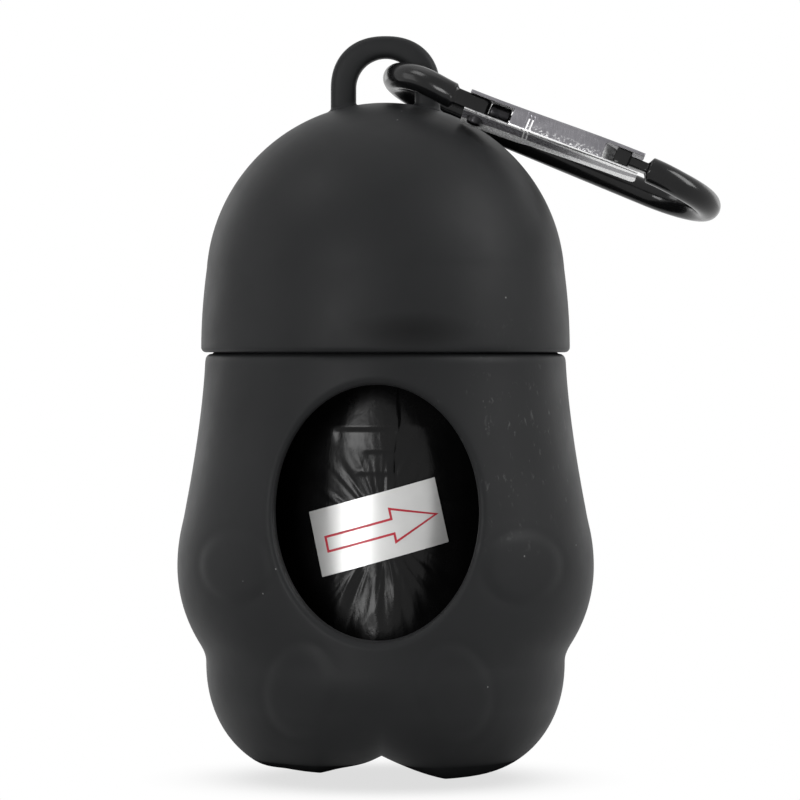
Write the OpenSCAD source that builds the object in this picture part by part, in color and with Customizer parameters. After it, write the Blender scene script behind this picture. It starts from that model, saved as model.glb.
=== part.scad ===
// Bag dispenser shaped like a paw: a moulded body with a bag window, a pull-off
// dome cap with a hanging eye, a roll of bags inside, and a snap hook in the eye.
// Lengths are millimetres. The origin is in the middle of the eye's hole, +Z is
// up and -Y is the side with the window.

/* [Body] */
// Height of the body from the toes to the shoulder under the cap
body_h = 50; // [49:0.5:53]
// Width of the body over the two upper toes
body_w = 49.5; // [48.5:0.5:52]
// Depth of the body from front to back
body_d = 43.6; // [43:0.2:46]
// Width of the round shoulder under the cap
shoulder_w = 42.8; // [42.4:0.1:43.2]
// Height of the lower toes up to the notch between lower and upper toe
toe_h = 13.5; // [12.5:0.5:15]
// Sideways distance from the middle to the centre of a lower toe
toe_x = 9; // [8.5:0.25:9.5]
// Height of the cleft between the two lower toes
cleft_h = 3.25; // [3:0.05:3.5]

/* [Bag window] */
// Width of the oval window
window_w = 23.2; // [20:0.2:25]
// Height of the oval window
window_h = 29.3; // [26:0.2:31]
// Height of the window's centre above the toes
window_z = 31.8; // [31:0.2:33]

/* [Roll] */
// Diameter of the roll of bags
roll_d = 29; // [27:0.5:29]
// Length of the roll of bags
roll_l = 57; // [54:0.5:58]
// Outer diameter of the card core
core_d = 14; // [13:0.5:16]
// Wall thickness of the card core
core_t = 0.8; // [0.6:0.1:1]

/* [Label] */
// Length of the start label
label_w = 15.2; // [13:0.2:17]
// Width of the start label
label_h = 7.4; // [6:0.2:9]
// Tilt of the label, rising to the right
label_tilt = 15.6; // [10:0.2:20]

/* [Cap] */
// Outer diameter of the dome
dome_d = 42.6; // [42.2:0.1:43]
// Outer diameter of the cap's lower edge
skirt_d = 43.8; // [43.4:0.1:44.4]
// Height of the straight skirt under the dome's centre
skirt_h = 8.35; // [8.2:0.1:9.5]
// Wall thickness of the dome
cap_t = 2; // [1.8:0.1:2.1]
// Length of the neck inside the cap
neck_h = 7; // [6.5:0.1:7]

/* [Hanging eye] */
// Outer width of the eye
eye_w = 12.7; // [12.4:0.1:13.5]
// Width of the hole in the eye
eye_hole_w = 7.1; // [7.1:0.05:7.3]
// Thickness of the eye from front to back
eye_d = 3.2; // [3:0.1:3.2]

/* [Snap hook] */
// Outer length of the snap hook
hook_l = 43.1; // [42:0.1:46]
// Outer width of the snap hook
hook_w = 17.5; // [17.2:0.1:18.5]
// Diameter of the hook's wire
wire_d = 3.1; // [3:0.05:3.1]
// Angle at which the hook hangs down to the right
hook_dip = 22.6; // [21.6:0.1:22.6]
// Angle at which the hook leans back on the dome
hook_roll = 7.5; // [6.5:0.25:7.5]
// Number of free turns of the gate's coil spring
spring_turns = 3; // [2:1:3]

/* [Hidden] */
$fn = 64;
cut = 0.5;
seam_gap = 0.15;
cap_fit = 0.25;
bead_rise = 0.18;
edge_r = 0.4;
columns = 48;

shoulder_r = shoulder_w / 2;
flat_x = toe_x;
flat_y = 7;
toe_a = 12.3;
toe_power = 2.15;
notch_z = toe_h + 1.3;
lobe_z = notch_z + 10;
flank_inset = 0.65;
flank_end = 5.2;
sink = 0.3;
neck_r = shoulder_r - 1;
chamber_r = neck_r - 1.9;
well_r = roll_d / 2 + 0.4;
floor_z = cleft_h + 2.25;
well_edge = 1;

cap_z = body_h + seam_gap;
bore_r = neck_r + cap_fit;
skirt_r = skirt_d / 2;
dome_r = dome_d / 2;
dome_z = cap_z + skirt_h;
dome_top = dome_z + dome_r;
neck_top = body_h + neck_h;
bead_z = neck_top - 2.4;
shelf_z = neck_top + 0.3;
collar_t = 0.7;

eye_r = eye_w / 2;
hole_r = eye_hole_w / 2;
eye_base = dome_top - 1.8;
hole_base = dome_top + 0.3;
arch_z = dome_top + 1.6;
hole_z = dome_top + 2;
eye_z = dome_top + 3;
eye_edge = 0.9;
hole_edge = 0.5;

roll_gap = 0.3;
roll_z = floor_z + roll_gap;
core_r = core_d / 2;
roll_r = roll_d / 2;
label_z = window_z - 1.7;
label_t = 0.12;

wire_r = wire_d / 2;
hang_x = hole_r - wire_r - 0.75;
hang_drop = 0.05;
bend_r = hook_w / 2 - wire_r;
hook_end = hook_l - 2 * wire_r;
bend_x = hook_end - bend_r;
gate_y = -bend_r;
tab_t = 2;
gate_in = 2.2;
gate_out = 3;
gate_depth = 4.2;
web_t = 0.4;
web_y = gate_y - 1.65;
gate_x0 = bend_r + 2.1;
gate_x1 = bend_x - 1.9;
window_l = 4.8;
rivet_x = gate_x0 + 1.6;
rivet_r = 0.5;
rivet_fit = 0.05;
tab_r = 1.15;
plunger_x = rivet_x + tab_r + 0.05;
plunger_l = 2.1;
spring_x = plunger_x + plunger_l;
spring_wire = 0.14;
spring_r = 0.6;
spring_pitch = 0.76;
spring_l = spring_turns * spring_pitch + 2 * spring_wire;
spring_rings = 8;
crimp_x = spring_x + spring_l;

// Outline of the paw

// The flank sweeps out from the round shoulder to the upper toe.
function flank(z) = shoulder_r + (body_w / 2 - flank_inset - shoulder_r)
    * pow(max(0, body_h - z) / (body_h - lobe_z - flank_end), 1.5);

// The upper toe is rounder below its widest point than above it.
function lobe(z) = let (
    r = z > lobe_z ? 21 : 17,
    d = min(abs(z - lobe_z), r)
) body_w / 2 - r + sqrt(r * r - d * d);

// The lower toe is a quarter of an oval that ends in a flat sole.
function toe(z) = flat_x + toe_a
    * pow(max(0, 1 - pow((toe_h - z) / toe_h, toe_power)), 1 / toe_power);

// Two curves that meet in a notch are blended over a short way.
function blend(a, b, k) = max(a, b) + k / 4 * pow(max(1 - abs(a - b) / k, 0), 2);

function half_w(z) = z > lobe_z + flank_end ? flank(z)
    : z > toe_h ? blend(lobe(z), toe(min(z, toe_h)) - 0.1 * (z - toe_h), 1)
    : blend(lobe(z), toe(z), 1);

function half_d(z) = z > toe_h
    ? shoulder_r + (body_d / 2 - shoulder_r) * sin(180 * (body_h - z) / (body_h - toe_h))
    : flat_y + (shoulder_r - flat_y) * sqrt(max(0, 1 - pow((toe_h - z) / toe_h, 2)));

// The cleft lifts the sole between the lower toes and fades out upward.
function lift(x, z) = let (fade = pow(max(0, 1 - z / toe_h), 1.6))
    fade * (cleft_h * pow(max(0, 1 - abs(x) / toe_x), 1.4) - sink);

// A row holds the height, the two half axes and the height used for the cleft.
function side_row(z) = [z, half_w(z), half_d(z)];
upper_rows = 15;
lower_rows = 9;
sole_rows = 3;
rows = concat(
    [[body_h, shoulder_r - edge_r, shoulder_r - edge_r]],
    [[body_h - edge_r / 3, shoulder_r - edge_r / 3, shoulder_r - edge_r / 3]],
    [for (i = [0:upper_rows - 1])
        side_row(body_h - edge_r - (body_h - edge_r - notch_z - 1) * i / (upper_rows - 1))],
    [side_row(notch_z + 0.3)],
    [side_row(notch_z - 0.5)],
    [for (i = [0:lower_rows]) side_row(toe_h * (1 - sin(90 * i / lower_rows)))],
    [for (i = [1:sole_rows]) let (s = 1 - i / (sole_rows + 0.5)) [0, flat_x * s, flat_y * s]]
);
last = len(rows) - 1;

function row_points(row) = [for (j = [0:columns - 1]) let (
    a = 360 * j / columns,
    x = row[1] * cos(a)
) [x, row[2] * sin(a), row[0] + lift(x, row[0])]];

module paw_form() {
    points = concat(
        [[0, 0, body_h]],
        [for (row = rows) each row_points(row)],
        [[0, 0, lift(0, 0)]]
    );
    lid = [for (j = [0:columns - 1])
        [0, 1 + (j + 1) % columns, 1 + j]];
    sides = [for (i = [0:last - 1]) for (j = [0:columns - 1]) let (
        a = 1 + i * columns + j,
        b = 1 + i * columns + (j + 1) % columns
    ) each [[a, b, b + columns], [a, b + columns, a + columns]]];
    sole = [for (j = [0:columns - 1])
        [len(points) - 1, 1 + last * columns + j, 1 + last * columns + (j + 1) % columns]];
    polyhedron(points = points, faces = concat(lid, sides, sole), convexity = 6);
}

module neck() {
    rotate_extrude()
        polygon([
            [0, body_h - 1],
            [neck_r, body_h - 1],
            [neck_r, bead_z - 0.5],
            [neck_r + bead_rise, bead_z],
            [neck_r, bead_z + 0.5],
            [neck_r, neck_top - 0.5],
            [neck_r - 0.5, neck_top],
            [0, neck_top]
        ]);
}

module chamber() {
    rotate_extrude()
        polygon([
            [0, floor_z],
            [well_r - well_edge, floor_z],
            [well_r, floor_z + 0.8 * well_edge],
            [well_r + 0.2, floor_z + 1.5],
            [well_r + 1.9, floor_z + 4.5],
            [chamber_r, floor_z + 11],
            [chamber_r, neck_top + cut],
            [0, neck_top + cut]
        ]);
}

module window_cut() {
    translate([0, 0, window_z])
        rotate([90, 0, 0])
            linear_extrude(height = body_d)
                polygon([for (i = [0:71])
                    [window_w / 2 * cos(5 * i), window_h / 2 * sin(5 * i)]]);
}

module body_shell() {
    color([0.07, 0.072, 0.075])
        difference() {
            union() {
                paw_form();
                neck();
            }
            chamber();
            window_cut();
            translate([-body_w, -body_d, -cleft_h])
                cube([2 * body_w, 2 * body_d, cleft_h]);
        }
}

// Cap with its hanging eye

module dome_solid() {
    bands = 5;
    join = 1.5;
    join_r = sqrt(dome_r * dome_r - join * join);
    collar_r = bore_r + collar_t;
    rotate_extrude()
        polygon(concat(
            [[0, cap_z]],
            [[skirt_r - edge_r, cap_z]],
            [[skirt_r - edge_r / 3, cap_z + edge_r / 3]],
            [[skirt_r, cap_z + edge_r]],
            [for (i = [1:bands]) let (t = i / bands)
                [skirt_r - (skirt_r - join_r) * pow(t, 1.9),
                 cap_z + edge_r + (dome_z + join - cap_z - edge_r) * t]],
            [[0, dome_z + join]]
        ));
    translate([0, 0, cap_z + edge_r])
        cylinder(r = collar_r, h = shelf_z + collar_t - cap_z - edge_r);
    intersection() {
        translate([0, 0, dome_z])
            sphere(r = dome_r, $fn = 96);
        translate([0, 0, dome_z + join])
            cylinder(r = dome_r + 1, h = dome_r);
    }
}

module cap_hollow() {
    inner_r = dome_r - cap_t;
    rotate_extrude()
        polygon([
            [0, cap_z - cut],
            [bore_r + 0.25, cap_z - cut],
            [bore_r + 0.25, cap_z],
            [bore_r, cap_z + 0.4],
            [bore_r, bead_z - 0.7],
            [bore_r + bead_rise, bead_z - 0.1],
            [bore_r + bead_rise, bead_z + 0.1],
            [bore_r, bead_z + 0.7],
            [bore_r, shelf_z],
            [inner_r - 0.2, shelf_z],
            [inner_r - 0.2, dome_z],
            [0, dome_z]
        ]);
    intersection() {
        translate([0, 0, dome_z])
            sphere(r = inner_r, $fn = 96);
        translate([0, 0, dome_z - 0.2])
            cylinder(r = dome_r, h = dome_r + 1);
    }
}

module eye_plate() {
    translate([0, 0, arch_z])
        rotate([90, 0, 0])
            rotate_extrude()
                polygon([
                    [0, -eye_d / 2],
                    [eye_r - eye_edge, -eye_d / 2],
                    [eye_r - 0.27 * eye_edge, -eye_d / 2 + 0.27 * eye_edge],
                    [eye_r, -eye_d / 2 + eye_edge],
                    [eye_r, eye_d / 2 - eye_edge],
                    [eye_r - 0.27 * eye_edge, eye_d / 2 - 0.27 * eye_edge],
                    [eye_r - eye_edge, eye_d / 2],
                    [0, eye_d / 2]
                ]);
    translate([0, 0, eye_base])
        linear_extrude(height = arch_z - eye_base)
            polygon([for (s = [[1, 1], [-1, 1], [-1, -1], [1, -1]]) for (k = [0:2]) let (
                n = s[0] * s[1] > 0 ? k : 2 - k,
                in_x = [0, 0.27, 1][n] * eye_edge,
                in_y = [1, 0.27, 0][n] * eye_edge
            ) [s[0] * (eye_r - in_x), s[1] * (eye_d / 2 - in_y)]]);
}

// The hole's edges are broken, so that the hook's bend runs clear of them.
module eye_hole() {
    y0 = eye_d / 2 - hole_edge;
    y1 = eye_d / 2 + cut;
    translate([0, 0, hole_z])
        rotate([90, 0, 0])
            rotate_extrude()
                polygon([
                    [0, -y1],
                    [hole_r + hole_edge + cut, -y1],
                    [hole_r, -y0],
                    [hole_r, y0],
                    [hole_r + hole_edge + cut, y1],
                    [0, y1]
                ]);
    translate([0, 0, hole_base])
        linear_extrude(height = hole_z - hole_base)
            polygon([
                [-hole_r - hole_edge - cut, -y1],
                [hole_r + hole_edge + cut, -y1],
                [hole_r, -y0],
                [hole_r, y0],
                [hole_r + hole_edge + cut, y1],
                [-hole_r - hole_edge - cut, y1],
                [-hole_r, y0],
                [-hole_r, -y0]
            ]);
}

module cap_shell() {
    color([0.07, 0.072, 0.075])
        difference() {
            union() {
                dome_solid();
                difference() {
                    eye_plate();
                    eye_hole();
                }
            }
            cap_hollow();
        }
}

// Roll of bags

module roll_core() {
    color([0.62, 0.5, 0.36])
        translate([0, 0, roll_z])
            difference() {
                cylinder(r = core_r, h = roll_l);
                translate([0, 0, -cut])
                    cylinder(r = core_r - core_t, h = roll_l + 2 * cut);
            }
}

module bag_roll() {
    color([0.02, 0.02, 0.022])
        translate([0, 0, roll_z + 0.5])
            difference() {
                cylinder(r = roll_r, h = roll_l - 1);
                translate([0, 0, -cut])
                    cylinder(r = core_r, h = roll_l + 2 * cut);
            }
}

module start_label() {
    color([0.82, 0.82, 0.8])
        intersection() {
            difference() {
                translate([0, 0, label_z - label_w])
                    cylinder(r = roll_r + label_t, h = 2 * label_w, $fn = 128);
                translate([0, 0, label_z - label_w - cut])
                    cylinder(r = roll_r, h = 2 * (label_w + cut), $fn = 128);
            }
            translate([0, 0, label_z])
                rotate([0, -label_tilt, 0])
                    translate([-label_w / 2, -roll_r - label_t - cut, -label_h / 2])
                        cube([label_w, roll_r, label_h]);
        }
}

// Snap hook, drawn flat in its own frame: X runs along the hook from the end
// in the eye, -Y is the gate side and Z is square to the ring.

module wire(x0, x1, y) {
    translate([x0, y, 0])
        rotate([0, 90, 0])
            cylinder(r = wire_r, h = x1 - x0);
}

// The wire's round section ends in a short cone towards the pressed tab.
module wire_end(x, y, way) {
    translate([x, y, 0])
        rotate([0, way * 90, 0])
            cylinder(r1 = wire_r, r2 = wire_r - 0.45, h = 0.45);
}

module bend(x, turn) {
    translate([x, 0, 0])
        rotate([0, 0, turn])
            rotate_extrude(angle = 180)
                translate([bend_r, 0])
                    circle(r = wire_r);
}

module hinge_tab() {
    difference() {
        union() {
            translate([bend_r - 0.5, gate_y - 1.3, -tab_t / 2])
                cube([rivet_x - bend_r - 0.5, 2.6, tab_t]);
            translate([rivet_x, gate_y, -tab_t / 2])
                cylinder(r = tab_r, h = tab_t);
            translate([rivet_x - 1.1, gate_y - tab_r, -tab_t / 2])
                cube([1.1, 2 * tab_r, tab_t]);
        }
        translate([rivet_x, gate_y, -tab_t])
            cylinder(r = rivet_r + rivet_fit, h = 2 * tab_t);
    }
}

module nose() {
    head_x = gate_x1 - 3.3;
    translate([head_x, gate_y - 1.5, -tab_t / 2])
        cube([1.8, 2.9, tab_t]);
    translate([head_x + 1, gate_y - 1.1, -0.6])
        cube([bend_x - head_x, 2.2, 1.2]);
}

module carabiner_frame() {
    color([0.012, 0.012, 0.013])
        hook_place() {
            wire(bend_r, bend_x, bend_r);
            bend(bend_r, 90);
            bend(bend_x, 270);
            wire(bend_r, bend_r + 0.2, gate_y);
            wire_end(bend_r + 0.2, gate_y, 1);
            wire(bend_x - 0.6, bend_x, gate_y);
            wire_end(bend_x - 0.6, gate_y, -1);
            hinge_tab();
            nose();
        }
}

module gate_channel() {
    color([0.72, 0.73, 0.74])
        hook_place()
            difference() {
                translate([gate_x0, web_y, -gate_out / 2])
                    cube([gate_x1 - gate_x0, gate_depth, gate_out]);
                difference() {
                    translate([gate_x0 - cut, web_y + web_t, -gate_in / 2])
                        cube([gate_x1 - gate_x0 + 2 * cut, gate_depth, gate_in]);
                    translate([crimp_x, web_y, -0.5])
                        cube([0.45, 2.3, 1]);
                }
                translate([gate_x0 - cut, web_y - cut, -gate_in / 2])
                    cube([window_l + cut, 2, gate_in]);
                translate([gate_x1 - window_l, web_y - cut, -gate_in / 2])
                    cube([window_l + cut, 2, gate_in]);
                translate([rivet_x, gate_y, -gate_out])
                    cylinder(r = rivet_r, h = 2 * gate_out);
            }
}

module gate_rivet() {
    color([0.7, 0.7, 0.71])
        hook_place()
            translate([rivet_x, gate_y, 0]) {
                translate([0, 0, -gate_out / 2 - 0.1])
                    cylinder(r = rivet_r, h = gate_out + 0.2);
                for (s = [-1, 1])
                    translate([0, 0, s * gate_out / 2])
                        rotate([s > 0 ? 0 : 180, 0, 0])
                            cylinder(r1 = 0.9, r2 = 0.7, h = 0.35);
            }
}

module gate_plunger() {
    color([0.6, 0.6, 0.61])
        hook_place()
            translate([plunger_x, gate_y, 0])
                rotate([0, 90, 0]) {
                    cylinder(r = 0.95, h = plunger_l);
                    cylinder(r = 0.32, h = plunger_l + 1.2);
                }
}

function coil(i) = let (a = 360 * i / spring_rings) [
    spring_x + spring_wire + spring_pitch * i / spring_rings,
    gate_y + spring_r * cos(a),
    spring_r * sin(a)
];
coil_n = spring_turns * spring_rings;
coil_gap = min([for (i = [0:coil_n]) for (j = [i + spring_rings - 2:1:coil_n])
    norm(coil(i) - coil(j))]) - 2 * spring_wire;
echo(least_gap_between_spring_turns = coil_gap);

// The spring is one unbroken tube of six sides, closed by a face at each end.
module gate_spring() {
    slope = atan2(spring_pitch, 2 * PI * spring_r);
    sides = 6;
    points = [for (i = [0:coil_n]) let (
        c = coil(i),
        a = 360 * i / spring_rings,
        out = [0, cos(a), sin(a)],
        up = [cos(slope), sin(slope) * sin(a), -sin(slope) * cos(a)]
    ) for (k = [0:sides - 1]) c + spring_wire
        * (cos(60 * k) * out + sin(60 * k) * up)];
    tube = [for (i = [0:coil_n - 1]) for (k = [0:sides - 1]) let (
        a = i * sides + k,
        b = i * sides + (k + 1) % sides
    ) each [[a, b + sides, b], [a, a + sides, b + sides]]];
    ends = [for (k = [1:sides - 2]) each [
        [0, k, k + 1],
        [coil_n * sides, coil_n * sides + k + 1, coil_n * sides + k]
    ]];
    color([0.6, 0.6, 0.62])
        hook_place()
            polyhedron(points = points, faces = concat(tube, ends), convexity = 8);
}

module hook_place() {
    translate([hang_x, 0, eye_z - hang_drop])
        rotate([-hook_roll, hook_dip, 0])
            children();
}

// Everything is moved so that the origin lies in the middle of the eye's hole.
module placed() {
    translate([0, 0, -eye_z])
        children();
}

placed() body_shell();
placed() cap_shell();
placed() roll_core();
placed() bag_roll();
placed() start_label();
placed() carabiner_frame();
placed() gate_channel();
placed() gate_rivet();
placed() gate_plunger();
placed() gate_spring();
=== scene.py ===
import bpy
import bmesh
import math
import numpy as np
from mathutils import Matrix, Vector, noise


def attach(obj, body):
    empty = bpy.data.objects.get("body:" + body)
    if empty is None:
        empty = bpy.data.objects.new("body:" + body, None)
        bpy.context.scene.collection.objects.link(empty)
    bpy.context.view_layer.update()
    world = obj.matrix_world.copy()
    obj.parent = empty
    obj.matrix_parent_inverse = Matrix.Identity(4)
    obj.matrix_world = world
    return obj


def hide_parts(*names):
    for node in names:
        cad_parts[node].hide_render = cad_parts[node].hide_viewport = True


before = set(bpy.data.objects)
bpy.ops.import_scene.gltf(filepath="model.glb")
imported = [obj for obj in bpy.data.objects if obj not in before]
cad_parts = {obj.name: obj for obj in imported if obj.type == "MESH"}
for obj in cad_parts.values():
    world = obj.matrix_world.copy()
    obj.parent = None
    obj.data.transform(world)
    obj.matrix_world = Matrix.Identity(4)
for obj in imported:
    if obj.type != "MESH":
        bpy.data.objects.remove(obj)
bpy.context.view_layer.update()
scene = bpy.context.scene

MM = 0.001
EYE_Z = 82.8          # height of the frame's origin above the toes, mm
PI = math.pi


# ------------------------------------------------------------------ helpers

def to_frame(p):
    """Design millimetres (z = 0 at the toes) to frame metres."""
    return (p[0] * MM, p[1] * MM, (p[2] - EYE_Z) * MM)


def add_mesh(name, verts, faces, mats, body, replaces=(), smooth=40.0, raw=False):
    me = bpy.data.meshes.new(name)
    me.from_pydata(verts if raw else [to_frame(v) for v in verts], [], faces)
    me.validate()
    bm = bmesh.new()
    bm.from_mesh(me)
    bmesh.ops.recalc_face_normals(bm, faces=bm.faces)
    bm.to_mesh(me)
    bm.free()
    for m in (mats if isinstance(mats, (list, tuple)) else [mats]):
        me.materials.append(m)
    for p in me.polygons:
        p.use_smooth = True
    me.set_sharp_from_angle(angle=math.radians(smooth))
    ob = bpy.data.objects.new(name, me)
    scene.collection.objects.link(ob)
    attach(ob, body)
    if replaces:
        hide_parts(*replaces)
    return ob


def smoothstep(a, b, x):
    t = min(1.0, max(0.0, (x - a) / (b - a)))
    return t * t * (3 - 2 * t)


def lerp(a, b, t):
    return a + (b - a) * t


# ---------------------------------------------------------------- materials

def new_mat(name):
    m = bpy.data.materials.new(name)
    m.use_nodes = True
    nt = m.node_tree
    for n in list(nt.nodes):
        nt.nodes.remove(n)
    out = nt.nodes.new("ShaderNodeOutputMaterial")
    bsdf = nt.nodes.new("ShaderNodeBsdfPrincipled")
    nt.links.new(bsdf.outputs[0], out.inputs[0])
    return m, nt, bsdf


def coords(nt, scale=(1, 1, 1)):
    tc = nt.nodes.new("ShaderNodeTexCoord")
    mp = nt.nodes.new("ShaderNodeMapping")
    mp.inputs["Scale"].default_value = scale
    nt.links.new(tc.outputs["Object"], mp.inputs["Vector"])
    return mp.outputs["Vector"]


def tex_noise(nt, vec, scale, detail=4.0, rough=0.5, dist=0.0):
    n = nt.nodes.new("ShaderNodeTexNoise")
    n.inputs["Scale"].default_value = scale
    n.inputs["Detail"].default_value = detail
    n.inputs["Roughness"].default_value = rough
    n.inputs["Distortion"].default_value = dist
    nt.links.new(vec, n.inputs["Vector"])
    return n.outputs["Fac"]


def ramp(nt, fac, stops):
    r = nt.nodes.new("ShaderNodeValToRGB")
    el = r.color_ramp.elements
    while len(el) > 1:
        el.remove(el[0])
    el[0].position = stops[0][0]
    el[0].color = tuple(stops[0][1]) + (1,)
    for pos, col in stops[1:]:
        e = el.new(pos)
        e.color = tuple(col) + (1,)
    nt.links.new(fac, r.inputs["Fac"])
    return r.outputs["Color"]


def math_node(nt, op, a, b=None, c=None, clamp=False):
    n = nt.nodes.new("ShaderNodeMath")
    n.operation = op
    n.use_clamp = clamp
    for i, v in enumerate((a, b, c)):
        if v is None:
            continue
        if isinstance(v, (int, float)):
            n.inputs[i].default_value = v
        else:
            nt.links.new(v, n.inputs[i])
    return n.outputs[0]


def bump(nt, bsdf, height, strength, distance, under=None):
    b = nt.nodes.new("ShaderNodeBump")
    b.inputs["Strength"].default_value = strength
    b.inputs["Distance"].default_value = distance
    nt.links.new(height, b.inputs["Height"])
    if under is not None:
        nt.links.new(under, b.inputs["Normal"])
    nt.links.new(b.outputs["Normal"], bsdf.inputs["Normal"])
    return b.outputs["Normal"]


DIP, LEAN = math.radians(22.6), math.radians(7.5)
HANG = (1.25, 0.0, EYE_Z - 0.05)


def hook(p):
    """A point in the hook's own frame, mm, to design mm."""
    x, y, z = p
    # the gate side is bowed a little: lower at its hinge than at its nose
    bow = -0.62 * smoothstep(2.0, 8.0, x) + 0.77 * smoothstep(8.0, 31.0, x) - 0.15 * smoothstep(32.0, 37.0, x)
    z += bow * smoothstep(-2.5, -6.0, y)
    y1 = y * math.cos(-LEAN) - z * math.sin(-LEAN)
    z1 = y * math.sin(-LEAN) + z * math.cos(-LEAN)
    return (x * math.cos(DIP) + z1 * math.sin(DIP) + HANG[0], y1,
            -x * math.sin(DIP) + z1 * math.cos(DIP) + HANG[2])


def along_hook(nt, way):
    """Metres along one axis of the hook's own frame, for use in its materials."""
    o = Vector(to_frame(hook((0, 0, 0))))
    d = (Vector(to_frame(hook(way))) - o) / MM
    dot = nt.nodes.new("ShaderNodeVectorMath")
    dot.operation = "DOT_PRODUCT"
    nt.links.new(coords(nt), dot.inputs[0])
    dot.inputs[1].default_value = d
    return math_node(nt, "SUBTRACT", dot.outputs["Value"], d.dot(o))


def from_spot(nt, scale, spot):
    """Distance in metres from a spot, with each axis stretched by scale."""
    n = nt.nodes.new("ShaderNodeVectorMath")
    n.operation = "DISTANCE"
    nt.links.new(coords(nt, scale), n.inputs[0])
    n.inputs[1].default_value = tuple(c * k for c, k in zip(spot, scale))
    return n.outputs["Value"]


def silicone():
    m, nt, b = new_mat("silicone_charcoal")
    v = coords(nt)
    cloud = tex_noise(nt, v, 70.0, 3.0, 0.55)
    base = ramp(nt, cloud, [(0.3, (0.0138, 0.0142, 0.0148)), (0.7, (0.0168, 0.0173, 0.0180))])
    # a little dust and lint that sits on the matte skin
    vor = nt.nodes.new("ShaderNodeTexVoronoi")
    vor.inputs["Scale"].default_value = 330.0
    vor.inputs["Randomness"].default_value = 1.0
    nt.links.new(v, vor.inputs["Vector"])
    speck = math_node(nt, "LESS_THAN", vor.outputs["Distance"], 0.035)
    patch = tex_noise(nt, v, 55.0, 2.0, 0.5)
    patch = math_node(nt, "GREATER_THAN", patch, 0.57)
    dust = math_node(nt, "MULTIPLY", speck, patch)
    # a cloud of short lint on the right shoulder
    near = ramp(nt, from_spot(nt, (1, 1, 1), (0.0165, -0.0165, -0.0430)), [(0.006, (1,) * 3), (0.015, (0,) * 3)])
    fluff = tex_noise(nt, coords(nt, (1, 1, 0.5)), 1500.0, 3.0, 0.6, 0.5)
    fluff = ramp(nt, fluff, [(0.60, (0,) * 3), (0.70, (0.32,) * 3)])
    clump = ramp(nt, tex_noise(nt, v, 330.0, 2.0, 0.5), [(0.46, (0,) * 3), (0.60, (1,) * 3)])
    lint = math_node(nt, "MULTIPLY", math_node(nt, "MULTIPLY", fluff, clump), near)
    dust = math_node(nt, "MAXIMUM", dust, lint)
    # a faint dark smudge just above the seam
    smear = ramp(nt, from_spot(nt, (1, 1, 3.5), (0.0042, -0.0215, -0.0302)), [(0.0025, (0.35,) * 3), (0.0065, (1,) * 3)])
    dim = nt.nodes.new("ShaderNodeMix")
    dim.data_type = "RGBA"
    dim.blend_type = "MULTIPLY"
    dim.inputs["Factor"].default_value = 1.0
    nt.links.new(base, dim.inputs["A"])
    nt.links.new(smear, dim.inputs["B"])
    base = dim.outputs["Result"]
    mix = nt.nodes.new("ShaderNodeMix")
    mix.data_type = "RGBA"
    nt.links.new(dust, mix.inputs["Factor"])
    nt.links.new(base, mix.inputs["A"])
    mix.inputs["B"].default_value = (0.16, 0.16, 0.16, 1)
    nt.links.new(mix.outputs["Result"], b.inputs["Base Color"])
    rough = ramp(nt, tex_noise(nt, v, 160.0, 4.0, 0.6), [(0.3, (0.45,) * 3), (0.7, (0.53,) * 3)])
    nt.links.new(rough, b.inputs["Roughness"])
    # the soles of the toes are dull: the shine fades out from 8.5 mm down to 2 mm up
    axes = nt.nodes.new("ShaderNodeSeparateXYZ")
    nt.links.new(v, axes.inputs[0])
    up = math_node(nt, "MULTIPLY_ADD", axes.outputs["Z"], 100.0, EYE_Z / 10.0)
    shine = ramp(nt, up, [(0.2, (0.0,) * 3), (0.85, (0.11,) * 3)])
    nt.links.new(shine, b.inputs["Specular IOR Level"])
    fine = tex_noise(nt, v, 2600.0, 3.0, 0.6)
    n1 = bump(nt, b, fine, 0.25, 0.00003)
    bump(nt, b, cloud, 0.2, 0.0003, n1)
    return m


def film():
    m, nt, b = new_mat("black_film")
    v = coords(nt)
    base = ramp(nt, tex_noise(nt, v, 240.0, 4.0, 0.6), [(0.3, (0.0030, 0.0030, 0.0032)), (0.7, (0.0055, 0.0055, 0.0056))])
    nt.links.new(base, b.inputs["Base Color"])
    rough = ramp(nt, tex_noise(nt, v, 420.0, 4.0, 0.6), [(0.3, (0.17,) * 3), (0.7, (0.27,) * 3)])
    nt.links.new(rough, b.inputs["Roughness"])
    b.inputs["Specular IOR Level"].default_value = 0.17
    vs = coords(nt, (1, 1, 0.35))
    crinkle = tex_noise(nt, vs, 900.0, 5.0, 0.65, 0.6)
    bump(nt, b, crinkle, 0.3, 0.00012)
    return m


def card():
    m, nt, b = new_mat("roll_card")
    v = coords(nt)
    wave = nt.nodes.new("ShaderNodeTexWave")
    wave.wave_type = "BANDS"
    wave.bands_direction = "DIAGONAL"
    wave.inputs["Scale"].default_value = 40.0
    wave.inputs["Distortion"].default_value = 0.3
    nt.links.new(v, wave.inputs["Vector"])
    fibre = tex_noise(nt, v, 1500.0, 5.0, 0.7)
    f = math_node(nt, "MULTIPLY_ADD", wave.outputs["Fac"], 0.2, fibre)
    col = ramp(nt, f, [(0.3, (0.30, 0.215, 0.13)), (0.9, (0.47, 0.36, 0.24))])
    nt.links.new(col, b.inputs["Base Color"])
    b.inputs["Roughness"].default_value = 0.85
    bump(nt, b, fibre, 0.4, 0.00006)
    return m


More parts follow.
